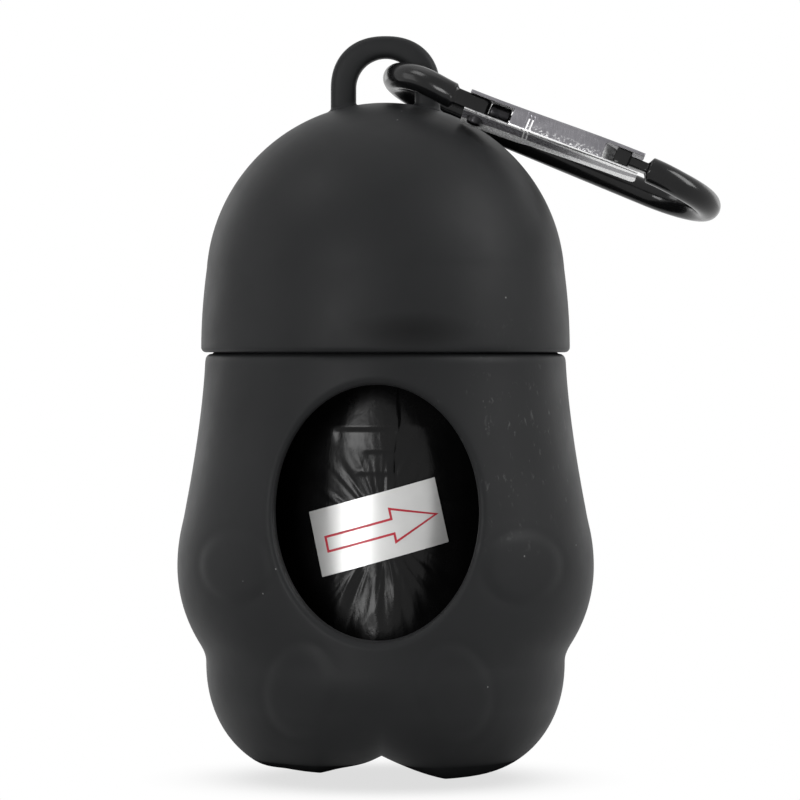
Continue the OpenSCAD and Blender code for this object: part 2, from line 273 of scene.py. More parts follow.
def label_paper():
    m, nt, b = new_mat("label_paper")
    v = coords(nt)
    col = ramp(nt, tex_noise(nt, v, 300.0, 3.0, 0.5), [(0.3, (0.60, 0.60, 0.59)), (0.7, (0.66, 0.66, 0.65))])
    nt.links.new(col, b.inputs["Base Color"])
    rough = ramp(nt, tex_noise(nt, v, 900.0, 3.0, 0.5), [(0.3, (0.30,) * 3), (0.7, (0.36,) * 3)])
    nt.links.new(rough, b.inputs["Roughness"])
    b.inputs["Metallic"].default_value = 0.30
    b.inputs["Specular IOR Level"].default_value = 1.0
    b.inputs["Coat Weight"].default_value = 1.0
    b.inputs["Coat IOR"].default_value = 1.75
    b.inputs["Coat Roughness"].default_value = 0.3
    bump(nt, b, tex_noise(nt, v, 2500.0, 2.0, 0.5), 0.06, 0.00003)
    return m


def red_ink():
    m, nt, b = new_mat("red_print")
    v = coords(nt)
    col = ramp(nt, tex_noise(nt, v, 2500.0, 3.0, 0.6), [(0.3, (0.46, 0.012, 0.03)), (0.7, (0.58, 0.02, 0.045))])
    nt.links.new(col, b.inputs["Base Color"])
    b.inputs["Roughness"].default_value = 0.4
    return m


def black_wire():
    m, nt, b = new_mat("wire_black_gloss")
    v = coords(nt)
    col = ramp(nt, tex_noise(nt, v, 500.0, 4.0, 0.6), [(0.35, (0.003, 0.003, 0.0032)), (0.75, (0.006, 0.006, 0.0064))])
    nt.links.new(col, b.inputs["Base Color"])
    rough = ramp(nt, tex_noise(nt, v, 900.0, 5.0, 0.65), [(0.3, (0.16,) * 3), (0.75, (0.30,) * 3)])
    nt.links.new(rough, b.inputs["Roughness"])
    b.inputs["Specular IOR Level"].default_value = 0.16
    b.inputs["Coat Weight"].default_value = 0.2
    b.inputs["Coat Roughness"].default_value = 0.10
    orange = tex_noise(nt, v, 700.0, 3.0, 0.5)
    bump(nt, b, orange, 0.15, 0.0001)
    return m


def bright_steel():
    m, nt, b = new_mat("bright_plate")
    v = coords(nt)
    b.inputs["Metallic"].default_value = 1.0
    stain = tex_noise(nt, v, 260.0, 5.0, 0.65, 0.4)
    col = ramp(nt, stain, [(0.3, (0.15, 0.147, 0.16)), (0.6, (0.22, 0.215, 0.23)), (0.8, (0.31, 0.305, 0.32))])
    # bright marks: fine rubbed scratches, real wear painted near-white as painted glint, thickest near the lower fold
    # of the gate
    zh = along_hook(nt, (0, 0, 1))
    xh = along_hook(nt, (1, 0, 0))
    # height over the gate's middle line, which is bowed like the gate
    zb = math_node(nt, "SUBTRACT", zh, math_node(nt, "MULTIPLY_ADD", xh, 0.0335, -0.000888))
    low = ramp(nt, math_node(nt, "MULTIPLY_ADD", zb, 250.0, 0.5), [(0.20, (0,) * 3), (0.23, (1,) * 3), (0.34, (0.8,) * 3), (0.50, (0.0,) * 3)])
    span = math_node(nt, "COMPARE", xh, 0.0215, 0.0045)
    rub = tex_noise(nt, coords(nt, (0.8, 1.0, 1.6)), 3600.0, 2.0, 0.6, 0.5)
    rub = ramp(nt, rub, [(0.54, (0,) * 3), (0.62, (1,) * 3)])
    wear_and_glint = math_node(nt, "MULTIPLY", math_node(nt, "MULTIPLY", rub, span), low)
    # painted highlight: a white line along the lower fold
    fold = math_node(nt, "COMPARE", zb, -0.00112, 0.00018)
    wear_and_glint = math_node(nt, "MAXIMUM", wear_and_glint, fold)
    # a painted highlight line along the free edge of the lower wall, and thin bright lines at the two crimp marks
    rim = math_node(nt, "SUBTRACT", zb, math_node(nt, "MULTIPLY_ADD", xh, 0.0193, -0.002148))
    wear_and_glint = math_node(nt, "MAXIMUM", wear_and_glint, math_node(nt, "LESS_THAN", rim, 0.00012))
    for cx in (0.01685, 0.0173):
        mark = math_node(nt, "COMPARE", xh, cx, 0.00009)
        mark = math_node(nt, "MULTIPLY", mark, math_node(nt, "LESS_THAN", zb, 0.0004))
        wear_and_glint = math_node(nt, "MAXIMUM", wear_and_glint, mark)
    # under this mask the plate turns near-white: wear with painted glint, and painted highlight lines
    mix = nt.nodes.new("ShaderNodeMix")
    mix.data_type = "RGBA"
    nt.links.new(wear_and_glint, mix.inputs["Factor"])
    nt.links.new(col, mix.inputs["A"])
    mix.inputs["B"].default_value = (0.95, 0.95, 0.95, 1)
    nt.links.new(mix.outputs["Result"], b.inputs["Base Color"])
    # the lower wall is duller, like plating that was never polished
    dull = ramp(nt, math_node(nt, "MULTIPLY_ADD", zb, 250.0, 0.5), [(0.17, (0.35,) * 3), (0.21, (1,) * 3)])
    nt.links.new(dull, b.inputs["Metallic"])
    scr = coords(nt, (1.0, 1.0, 0.12))
    scratch = tex_noise(nt, scr, 2600.0, 5.0, 0.7, 1.2)
    rough = ramp(nt, scratch, [(0.35, (0.16,) * 3), (0.7, (0.40,) * 3)])
    nt.links.new(rough, b.inputs["Roughness"])
    bump(nt, b, scratch, 0.3, 0.00006)
    return m


# light steel standing in for a painted highlight: the sheet's cut edges and the tongue in the nose's window
def edge_steel():
    m, nt, b = new_mat("steel_painted_highlight")
    v = coords(nt)
    b.inputs["Metallic"].default_value = 0.6
    col = ramp(nt, tex_noise(nt, v, 1200.0, 4.0, 0.6), [(0.3, (0.62, 0.62, 0.63)), (0.7, (0.92, 0.92, 0.92))])
    nt.links.new(col, b.inputs["Base Color"])
    rough = ramp(nt, tex_noise(nt, v, 2600.0, 4.0, 0.7), [(0.35, (0.22,) * 3), (0.7, (0.40,) * 3)])
    nt.links.new(rough, b.inputs["Roughness"])
    return m


# near-black steel for the rivet pin and the follower
def dark_steel():
    m, nt, b = new_mat("near_black_steel")
    v = coords(nt)
    b.inputs["Metallic"].default_value = 1.0
    col = ramp(nt, tex_noise(nt, v, 900.0, 5.0, 0.65, 0.4), [(0.3, (0.010, 0.010, 0.011)), (0.7, (0.035, 0.034, 0.036))])
    nt.links.new(col, b.inputs["Base Color"])
    rough = ramp(nt, tex_noise(nt, v, 2600.0, 4.0, 0.7), [(0.35, (0.25,) * 3), (0.7, (0.45,) * 3)])
    nt.links.new(rough, b.inputs["Roughness"])
    return m


SIL = silicone()
FILM = film()
CARD = card()
LABEL = label_paper()
INK = red_ink()
WIRE = black_wire()
STEEL = bright_steel()
HIGHLIGHT_STEEL = edge_steel()
NEAR_BLACK_STEEL = dark_steel()


# ------------------------------------------------------- body, as one mesh

BODY_H, BODY_W, BODY_D, SHOULDER = 50.0, 49.5, 43.6, 21.4
TOE_H, TOE_X, CLEFT, SINK = 13.5, 9.0, 3.25, 0.3
NOTCH, LOBE = 14.8, 24.8
FLAT_Y = 7.0
NECK_R, CHAMBER, WELL, FLOOR = 20.4, 18.5, 14.9, 5.5
NECK_TOP, BEAD_Z = 57.0, 54.6
WIN_A, WIN_B, WIN_Z = 11.6, 14.65, 31.8


def flank(z):
    return SHOULDER + (BODY_W / 2 - 0.65 - SHOULDER) * (max(0.0, BODY_H - z) / (BODY_H - LOBE - 5.2)) ** 1.5


def lobe(z):
    r = 21.0 if z > LOBE else 17.0
    d = min(abs(z - LOBE), r)
    return BODY_W / 2 - r + math.sqrt(r * r - d * d)


def toe(z):
    return TOE_X + 12.3 * max(0.0, 1 - (max(0.0, TOE_H - z) / TOE_H) ** 2.15) ** (1 / 2.15)


def soft_max(a, b, k):
    return max(a, b) + k / 4 * max(1 - abs(a - b) / k, 0.0) ** 2


def half_w(z):
    top = lerp(flank(z), lobe(z), smoothstep(LOBE + 7.2, LOBE + 3.2, z)) if z > LOBE else lobe(z)
    if z > TOE_H:
        low = toe(TOE_H) - 0.1 * (z - TOE_H)
    else:
        low = toe(z)
    return soft_max(top, low, 1.0)


def half_d(z):
    if z > TOE_H:
        return SHOULDER + (BODY_D / 2 - SHOULDER) * math.sin(PI * (BODY_H - z) / (BODY_H - TOE_H))
    return FLAT_Y + (SHOULDER - FLAT_Y) * math.sqrt(max(0.0, 1 - ((TOE_H - z) / TOE_H) ** 2))


def lift(x, z):
    fade = max(0.0, 1 - z / TOE_H) ** 1.6
    sole = max(0.0, fade * (CLEFT * max(0.0, 1 - abs(x) / TOE_X) ** 1.4 - SINK))
    # the left toe stands a little higher than the right one
    high = 0.65 * smoothstep(-1.0, -6.0, x) * smoothstep(-15.5, -11.0, x)
    return sole + high * fade


# toe pads: centre x, z, half width, half height, lean in degrees (top inward)
PADS = [(-8.9, 11.2, 3.85, 5.2, -10), (8.9, 11.2, 3.85, 5.2, 10),
        (-16.6, 25.4, 4.1, 3.8, 0), (16.6, 25.4, 4.1, 3.8, 0)]


def relief(x, y, z):
    if y > 0:
        return 0.0
    h = 0.0
    for px, pz, a, b, lean in PADS:
        c, s = math.cos(math.radians(lean)), math.sin(math.radians(lean))
        dx, dz = x - px, z - pz
        u, w = dx * c + dz * s, -dx * s + dz * c
        e = math.sqrt((u / a) ** 2 + (w / b) ** 2)
        if e < 1.4:
            h += 0.16 * (1 - smoothstep(0.80, 1.14, e)) - 0.05 * math.exp(-((e - 1.14) / 0.10) ** 2)
    return h


def skin(x, y, z):
    """Moves a point of the outside along its level normal by the relief there."""
    h = relief(x, y, z)
    if h == 0.0:
        return (x, y, z)
    a, b = half_w(z), half_d(z)
    n = Vector((x / (a * a), y / (b * b), 0)).normalized()
    return (x + n.x * h, y + n.y * h, z)


def front_y(x, z):
    a = half_w(z)
    return -half_d(z) * math.sqrt(max(0.0, 1 - (x / a) ** 2))


def chamber_r(z):
    pts = [(FLOOR, WELL - 1), (FLOOR + 0.8, WELL), (FLOOR + 1.5, WELL + 0.2), (FLOOR + 4.5, WELL + 1.9),
           (FLOOR + 11, CHAMBER)]
    if z >= pts[-1][0]:
        return CHAMBER
    for (z0, r0), (z1, r1) in zip(pts, pts[1:]):
        if z <= z1:
            return lerp(r0, r1, (z - z0) / (z1 - z0))
    return CHAMBER


def chamber_y(x, z):
    r = chamber_r(z)
    return -math.sqrt(max(0.0, r * r - x * x))


def build_body():
    verts, faces = [], []

    def put(p):
        verts.append(p)
        return len(verts) - 1

    NC = 240
    C0, C1 = 152, 208                      # columns round the window: 228 to 312 degrees
    block = [15.0 + 33.5 * i / 67 for i in range(68)]
    block.reverse()                        # 48.5 down to 15.0
    edge = 0.8
    rows = []                              # outside, from the shoulder's flat to the sole
    rows.append(("r", BODY_H, SHOULDER - edge, 0))
    for k in range(1, 5):
        b = PI / 2 * k / 4
        rows.append(("r", BODY_H - edge * (1 - math.cos(b)), SHOULDER - edge * (1 - math.sin(b)), 0))
    for z in (48.98, 48.74):
        rows.append(("s", z, 0, 0))
    first_block = len(rows)
    for z in block:
        rows.append(("s", z, 0, 0))
    last_block = len(rows) - 1
    for z in (14.7, 14.4, 14.1, 13.8):
        rows.append(("s", z, 0, 0))
    n_low = 36
    for i in range(n_low + 1):
        rows.append(("s", TOE_H * (1 - math.sin(PI / 2 * i / n_low)), 0, 0))
    for i in range(1, 10):
        rows.append(("f", 0, 1 - i / 10.0, 0))

    out_idx = []
    for kind, z, r, _ in rows:
        line = []
        for j in range(NC):
            a = 2 * PI * j / NC
            if kind == "r":
                line.append(put((r * math.cos(a), r * math.sin(a), z)))
            elif kind == "f":
                x, y = TOE_X * r * math.cos(a), FLAT_Y * r * math.sin(a)
                line.append(put((x, y, lift(x, 0))))
            else:
                x, y = half_w(z) * math.cos(a), half_d(z) * math.sin(a)
                zz = z + lift(x, z)
                px, py, _z = skin(x, y, z)
                line.append(put((px, py, zz)))
        out_idx.append(line)
    for i in range(len(rows) - 1):
        for j in range(NC):
            if first_block <= i < last_block and C0 <= j < C1:
                continue
            k = (j + 1) % NC
            faces.append((out_idx[i][j], out_idx[i + 1][j], out_idx[i + 1][k], out_idx[i][k]))
    pole = put((0, 0, lift(0, 0)))
    for j in range(NC):
        faces.append((out_idx[-1][j], pole, out_idx[-1][(j + 1) % NC]))

    # neck, from the shoulder's flat up and over to the chamber's mouth
    neck = [(SHOULDER - edge, None)]
    prof = [(NECK_R + 0.15, BODY_H), (NECK_R, BODY_H + 0.15), (NECK_R, BEAD_Z - 0.6), (NECK_R + 0.1, BEAD_Z - 0.3),
            (NECK_R + 0.18, BEAD_Z), (NECK_R + 0.1, BEAD_Z + 0.3), (NECK_R, BEAD_Z + 0.6), (NECK_R, NECK_TOP - 0.55),
            (NECK_R - 0.08, NECK_TOP - 0.25), (NECK_R - 0.25, NECK_TOP - 0.07), (NECK_R - 0.5, NECK_TOP),
            (CHAMBER + 0.3, NECK_TOP), (CHAMBER + 0.08, NECK_TOP - 0.08)]
    prev = out_idx[0]
    for r, z in prof:
        line = [put((r * math.cos(2 * PI * j / NC), r * math.sin(2 * PI * j / NC), z)) for j in range(NC)]
        for j in range(NC):
            k = (j + 1) % NC
            faces.append((prev[j], prev[k], line[k], line[j]))
        prev = line

    # chamber, with its columns gathered so that the same number spans the window
    def inner_angle(j, z):
        uni = 2 * PI * j / NC
        h = math.radians(54)
        mid = 1.5 * PI
        if C0 <= j <= C1:
            gat = mid - h + 2 * h * (j - C0) / (C1 - C0)
        else:
            jj = j if j > C1 else j + NC
            gat = mid + h + (2 * PI - 2 * h) * (jj - C1) / (NC - (C1 - C0))
            if j < C0:
                gat -= 2 * PI
        return lerp(gat, uni, smoothstep(48.5, 56.0, z))

    in_rows = [NECK_TOP - 0.3, 55.5, 53.8, 52.0, 50.4, 49.4] + block
    in_rows += [FLOOR + h for h in (8.6, 7.2, 5.8, 4.5, 3.5, 2.5, 1.5, 1.1, 0.8, 0.4, 0.1, 0.0)]
    in_first = 6
    in_idx = []
    for z in in_rows:
        r = chamber_r(z)
        line = [put((r * math.cos(inner_angle(j, z)), r * math.sin(inner_angle(j, z)), z)) for j in range(NC)]
        in_idx.append(line)
    for j in range(NC):
        k = (j + 1) % NC
        faces.append((prev[j], prev[k], in_idx[0][k], in_idx[0][j]))
    for i in range(len(in_rows) - 1):
        for j in range(NC):
            if in_first <= i < in_first + len(block) - 1 and C0 <= j < C1:
                continue
            k = (j + 1) % NC
            faces.append((in_idx[i][j], in_idx[i][k], in_idx[i + 1][k], in_idx[i + 1][j]))
    pole = put((0, 0, FLOOR))
    for j in range(NC):
        faces.append((in_idx[-1][j], in_idx[-1][(j + 1) % NC], pole))

    # loop of grid points round the window, outside and inside, in step
    def loop(idx, i0, i1):
        ring = [idx[i0][j] for j in range(C0, C1)]
        ring += [idx[i][C1] for i in range(i0, i1)]
        ring += [idx[i1][j] for j in range(C1, C0, -1)]
        ring += [idx[i][C0] for i in range(i1, i0, -1)]
        return ring

    outer = loop(out_idx, first_block, last_block)
    inner = loop(in_idx, in_first, in_first + len(block) - 1)
    ang = []
    for q in outer:
        x, _y, z = verts[q]
        ang.append(math.atan2((z - WIN_Z) / WIN_B, x / WIN_A))

    def ellipse(a, d):
        # the left half is a little wider, as photographed
        wide = WIN_A + (0.4 if math.cos(a) < 0 else 0.0)
        x, z = wide * math.cos(a), WIN_B * math.sin(a)
        n = Vector((math.cos(a) / WIN_A, math.sin(a) / WIN_B)).normalized()
        return x + n.x * d, WIN_Z + z + n.y * d

    rim = 1.0
    lip = 0.35
    rings = [outer]
    M = 9
    for k in range(1, M + 1):
        t = (k / M) ** 0.8
        ring = []
        for q, a in zip(outer, ang):
            x0, _y, z0 = verts[q]
            x1, z1 = ellipse(a, rim)
            x, z = lerp(x0, x1, t), lerp(z0, z1, t)
            ring.append(put(skin(x, front_y(x, z), z)))
        rings.append(ring)
    for k in range(1, 8):
        b = PI / 2 * k / 7
        ring = []
        for a in ang:
            x, z = ellipse(a, rim * (1 - math.sin(b)))
            ring.append(put((x, front_y(x, z) + rim * (1 - math.cos(b)), z)))
        rings.append(ring)
    for k in range(1, 4):
        t = k / 4.0
        ring = []
        for a in ang:
            x, z = ellipse(a, 0)
            ring.append(put((x, lerp(front_y(x, z) + rim, chamber_y(x, z) - lip, t), z)))
        rings.append(ring)
    for k in range(0, 4):
        b = PI / 2 * k / 3
        ring = []
        for a in ang:
            x, z = ellipse(a, lip * (1 - math.cos(b)))
            ring.append(put((x, chamber_y(x, z) - lip * (1 - math.sin(b)), z)))
        rings.append(ring)
    for k in range(1, 6):
        t = k / 6.0
        ring = []
        for q, a in zip(inner, ang):
            x0, z0 = ellipse(a, lip)
            x1, _y, z1 = verts[q]
            x, z = lerp(x0, x1, t), lerp(z0, z1, t)
            ring.append(put((x, chamber_y(x, z), z)))
        rings.append(ring)
    rings.append(inner)
    n = len(outer)
    for r0, r1 in zip(rings, rings[1:]):
        for i in range(n):
            k = (i + 1) % n
            faces.append((r0[i], r0[k], r1[k], r1[i]))
    return add_mesh("body_skin", verts, faces, SIL, "body", ("body_shell",), smooth=50)


# ------------------------------------------------------------ cap and eye

CAP_Z, SKIRT_R, DOME_R = 50.15, 21.9, 21.3
DOME_Z = 58.5
BORE_R = 20.65


def revolve(name, prof, mat, body, replaces=(), cols=200, closed=True, smooth=40.0):
    """prof is a list of (r, z) in design mm; r = 0 makes a pole."""
    verts, faces, lines = [], [], []
    for r, z in prof:
        if r < 1e-6:
            verts.append((0, 0, z))
            lines.append([len(verts) - 1] * cols)
        else:
            line = []
            for j in range(cols):
                a = 2 * PI * j / cols
                verts.append((r * math.cos(a), r * math.sin(a), z))
                line.append(len(verts) - 1)
            lines.append(line)
    pairs = list(zip(lines, lines[1:]))
    if closed:
        pairs.append((lines[-1], lines[0]))
    for l0, l1 in pairs:
        for j in range(cols):
            k = (j + 1) % cols
            f = []
            for q in (l0[j], l0[k], l1[k], l1[j]):
                if q not in f:
                    f.append(q)
            if len(f) > 2:
                faces.append(tuple(f))
    return add_mesh(name, verts, faces, mat, body, replaces, smooth=smooth)


def build_cap():
    prof = []
    e = 0.6
    prof.append((BORE_R + 0.25, CAP_Z))
    for k in range(0, 6):
        b = PI / 2 * k / 5
        prof.append((SKIRT_R - e * (1 - math.sin(b)), CAP_Z + e * (1 - math.cos(b))))
    join = 1.5
    join_r = math.sqrt(DOME_R ** 2 - join ** 2)
    for k in range(1, 20):
        t = k / 20.0
        prof.append((SKIRT_R - (SKIRT_R - join_r) * t ** 1.9, lerp(CAP_Z + e, DOME_Z + join, t)))
    n = 60
    b0 = math.asin(join / DOME_R)
    for k in range(0, n):
        b = b0 + (PI / 2 - b0) * k / n
        prof.append((DOME_R * math.cos(b), DOME_Z + DOME_R * math.sin(b)))
    prof.append((0, DOME_Z + DOME_R))
    ri = DOME_R - 2.0
    prof.append((0, DOME_Z + ri))
    for k in range(39, -1, -1):
        b = PI / 2 * k / 40
        prof.append((ri * math.cos(b), DOME_Z + ri * math.sin(b)))
    prof += [(ri - 0.05, 57.6), (ri - 0.02, 57.38), (ri + 0.15, 57.3), (BORE_R - 0.1, 57.3), (BORE_R, 57.2),
             (BORE_R, 55.3), (BORE_R + 0.18, 54.7), (BORE_R + 0.18, 54.5), (BORE_R, 53.9), (BORE_R, 50.6),
             (BORE_R + 0.08, 50.32)]
    return revolve("cap_skin", prof, SIL, "cap", ("cap_shell",), cols=240, smooth=50)


def dome_top_z(x, y):
    return DOME_Z + math.sqrt(max(0.0, DOME_R ** 2 - x * x - y * y))


def build_eye():
    """The eye: a rounded strap over an arch, flared where it grows out of the dome."""
    verts, faces = [], []
    stations = []
    legs = 16
    out_x, in_x = 6.5, 3.5
    for i in range(legs):                                  # left leg, upward
        z = 78.3 + (81.4 - 78.3) * i / legs
        stations.append(((-out_x, z), (-in_x, z)))
    arc = 56
    p = 2.0 / 2.25
    for i in range(arc + 1):
        a = PI - PI * i / arc
        c = math.copysign(abs(math.cos(a)) ** p, math.cos(a))
        q = abs(math.sin(a)) ** p
        stations.append(((out_x * c, 81.4 + 6.33 * q), (in_x * math.cos(a), 81.5 + 3.55 * math.sin(a))))
    for i in range(legs - 1, -1, -1):
        z = 78.3 + (81.4 - 78.3) * i / legs
        stations.append(((out_x, z), (in_x, z)))
    depth = 1.6
    ns = 40
    fil = 0.35
    lines = []
    for (ox, oz), (ix, iz) in stations:
        line = []
        cx, cz = (ox + ix) / 2, (oz + iz) / 2
        ux, uz = (ox - ix) / 2, (oz - iz) / 2
        for k in range(ns):
            t = 2 * PI * k / ns
            c, s = math.cos(t), math.sin(t)
            p = 2.0 / 3.4
            a = math.copysign(abs(c) ** p, c)
            b = math.copysign(abs(s) ** p, s)
            x, y, z = cx + ux * a, depth * b, cz + uz * a
            # flare near the dome
            h = z - dome_top_z(x, y)
            if h < fil:
                q = max(0.0, min(h, fil))
                g = fil - math.sqrt(max(0.0, fil * fil - (fil - q) ** 2))
                sx = math.copysign(1, cx)
                x += sx * g * a
                y += g * b
            line.append(len(verts))
            verts.append((x, y, z))
        lines.append(line)
    for l0, l1 in zip(lines, lines[1:]):
        for k in range(ns):
            m = (k + 1) % ns
            faces.append((l0[k], l0[m], l1[m], l1[k]))
    faces.append(tuple(lines[0]))
    faces.append(tuple(reversed(lines[-1])))
    return add_mesh("cap_eye", verts, faces, SIL, "cap", smooth=60)


# ------------------------------------------------------------------- roll

ROLL_R, ROLL_Z0, ROLL_Z1 = 14.5, 6.3, 62.3
LABEL_Z = 30.1
LABEL_W, LABEL_H, TILT = 15.2, 7.4, math.radians(15.6)


def roll_depth(th, z):
    """How far the film lies inside the roll's full radius, mm; th is 0 at the front."""
    x = ROLL_R * th
    d = 0.10 + 0.10 * noise.noise(Vector((x * 0.12, z * 0.05, 3.1)))
    d += 0.05 * noise.noise(Vector((x * 0.5, z * 0.16, 8.4)))
    # above the top fold the film leans in towards the roll's end
    d += 0.15 * max(0.0, min(z, 46.5) - 41.6)
    # the free edge of the outer turn runs down the front
    edge_x = 1.9 + 0.5 * smoothstep(38, 44, z) + 0.25 * noise.noise(Vector((z * 0.3, 1.7, 0)))
    if z > 33:
        d += 0.16 * smoothstep(edge_x - 0.06, edge_x + 0.06, x) * (1 - smoothstep(9, 15, x))
    # crossing folds where bags were folded over before rolling
    for zf, x0, x1, amp in ((41.3, -5.8, 1.9, 0.14), (38.7, -2.2, 1.8, 0.10), (36.2, -3.0, 1.5, 0.05)):
        if x0 < x < x1 + 0.4:
            w = smoothstep(x0, x0 + 1, x) * (1 - smoothstep(x1, x1 + 0.3, x))
            d += amp * w * (smoothstep(zf + 0.12, zf - 0.12, z) - smoothstep(zf - 0.12, zf - 2.2, z) * 0.9)
            d -= 0.05 * w * math.exp(-((z - zf) / 0.16) ** 2)
    # wrinkles that fan out from under the label
    cx, cz = 0.3, LABEL_Z
    dx, dz = x - cx, z - cz
    rr = math.hypot(dx, dz)
    fan = math.exp(-((rr - 4.5) / 3.6) ** 2) if dz > 0 else math.exp(-((rr - 6.0) / 6.0) ** 2)
    a = math.atan2(dz, dx)
    lobes = noise.noise(Vector((a * 4.2, rr * 0.10, 5.0 if dz > 0 else 9.0)))
    lobes2 = noise.noise(Vector((a * 9.5, rr * 0.16, 2.0)))
    if abs(x) < 13:
        d += (0.34 * abs(lobes) + 0.14 * abs(lobes2)) * fan * (1 - smoothstep(7, 12, abs(x)))
    # one bright leaf that leans down to the left under the label
    if z < 27.5:
        along = (27.0 - z)
        mid = -0.6 - 0.22 * along
        w = 1.1 + 0.10 * along
        t = (x - mid) / w
        if -1.7 < t < 1.1:
            d += 0.24 * (1.1 - t) * smoothstep(-1.7, -0.5, t) * smoothstep(4, 12, z)
    return max(0.0, d)


def build_roll():
    NC, NR = 560, 250
    verts, faces, lines = [], [], []
    for i in range(NR + 1):
        z = lerp(ROLL_Z0, ROLL_Z1, i / NR)
        line = []
        end = min(i, NR - i) / 3.0
        for j in range(NC):
            th = -PI + 2 * PI * j / NC
            d = roll_depth(th, z) + 0.35 * max(0.0, 1 - end) ** 2
            r = ROLL_R - d
            line.append(len(verts))
            verts.append((r * math.sin(th), -r * math.cos(th), z))
        lines.append(line)
    for l0, l1 in zip(lines, lines[1:]):
        for j in range(NC):
            k = (j + 1) % NC
            faces.append((l0[j], l0[k], l1[k], l1[j]))
    # wound ends: low spiral ridges down to the core
    core = 7.02
    for which, base in ((0, lines[0]), (1, lines[-1])):
        z0 = ROLL_Z0 if which == 0 else ROLL_Z1
        sgn = -1 if which == 0 else 1
        prev = base
        n = 34
        for q in range(1, n + 1):
            r = lerp(ROLL_R - 0.45, core, q / n)
            line = []
            for j in range(NC):
                th = -PI + 2 * PI * j / NC
                turn = r / 0.9 + j / NC
                wob = 0.18 * math.sin(2 * PI * turn) + 0.12 * noise.noise(Vector((r * 0.9, th * 1.5, z0)))
                line.append(len(verts))
                verts.append((r * math.sin(th), -r * math.cos(th), z0 - sgn * (0.22 + wob)))
            for j in range(NC):
                k = (j + 1) % NC
                faces.append((prev[j], prev[k], line[k], line[j]))
            prev = line
        lines.append(prev)
    lo, hi = lines[-2], lines[-1]
    for j in range(NC):
        k = (j + 1) % NC
        faces.append((lo[j], lo[k], hi[k], hi[j]))
    return add_mesh("film_roll", verts, faces, FILM, "roll", ("bag_roll",), smooth=80)


def on_label(u, v, lift_mm):
    """A place on the label: u along it, v up it, in mm, seen square from the front."""
    u -= 0.45 * (0.5 - v / LABEL_H)
    x = u * math.cos(TILT) - v * math.sin(TILT)
    z = LABEL_Z + u * math.sin(TILT) + v * math.cos(TILT)
    r = ROLL_R + lift_mm
    return (x, -math.sqrt(max(0.0, r * r - x * x)), z)


def build_label():
    verts, faces = [], []
    nu, nv = 60, 24
    grid = {}
    for side, lift_mm in ((0, 0.02), (1, 0.10)):
        for i in range(nu + 1):
            for j in range(nv + 1):
                u = lerp(-LABEL_W / 2, LABEL_W / 2, i / nu)
                v = lerp(-LABEL_H / 2 - 0.28, LABEL_H / 2, j / nv)
                grid[side, i, j] = len(verts)
                verts.append(on_label(u, v, lift_mm))
    for side in (0, 1):
        for i in range(nu):
            for j in range(nv):
                faces.append((grid[side, i, j], grid[side, i + 1, j], grid[side, i + 1, j + 1], grid[side, i, j + 1]))
    for i in range(nu):
        for j in (0, nv):
            faces.append((grid[0, i, j], grid[0, i + 1, j], grid[1, i + 1, j], grid[1, i, j]))
    for j in range(nv):
        for i in (0, nu):
            faces.append((grid[0, i, j], grid[0, i, j + 1], grid[1, i, j + 1], grid[1, i, j]))
    add_mesh("label_sheet", verts, faces, LABEL, "roll", ("start_label",), smooth=40)

    # arrow outline: a thin printed line
    shape = [(-6.25, 0.85), (1.75, 0.85), (1.75, 2.05), (6.9, 0.0), (1.75, -1.85), (1.75, -0.85), (-6.25, -0.85)]
    w = 0.27
    verts, faces = [], []
    n = len(shape)
    inner, outer = [], []
    for i in range(n):
        p0, p1, p2 = Vector(shape[i - 1]), Vector(shape[i]), Vector(shape[(i + 1) % n])
        d0, d1 = (p1 - p0).normalized(), (p2 - p1).normalized()
        n0, n1 = Vector((-d0.y, d0.x)), Vector((-d1.y, d1.x))
        m = (n0 + n1)
        m = m / max(0.35, m.dot(n0))
        inner.append(p1 + m * w / 2)
        outer.append(p1 - m * w / 2)
    for i in range(n):
        j = (i + 1) % n
        steps = max(2, int((Vector(shape[j]) - Vector(shape[i])).length / 0.35))
        base = len(verts)
        for s in range(steps + 1):
            t = s / steps
            a, b = inner[i].lerp(inner[j], t), outer[i].lerp(outer[j], t)
            for q in (a, b):
                for h in (0.095, 0.118):
                    verts.append(on_label(q.x, q.y - 0.45, h))
        for s in range(steps):
            o = base + 4 * s
            p = o + 4
            faces += [(o + 1, o + 3, p + 3, p + 1), (o, p, p + 2, o + 2), (o, o + 1, p + 1, p), (o + 2, p + 2, p + 3, o + 3)]
    add_mesh("label_arrow", verts, faces, INK, "roll", smooth=40)


# -------------------------------------------------------------- snap hook

BR, BX, WR = 7.2, 32.8, 1.55
GX0, GX1 = 9.3, 30.9
RIVET_X = 10.9


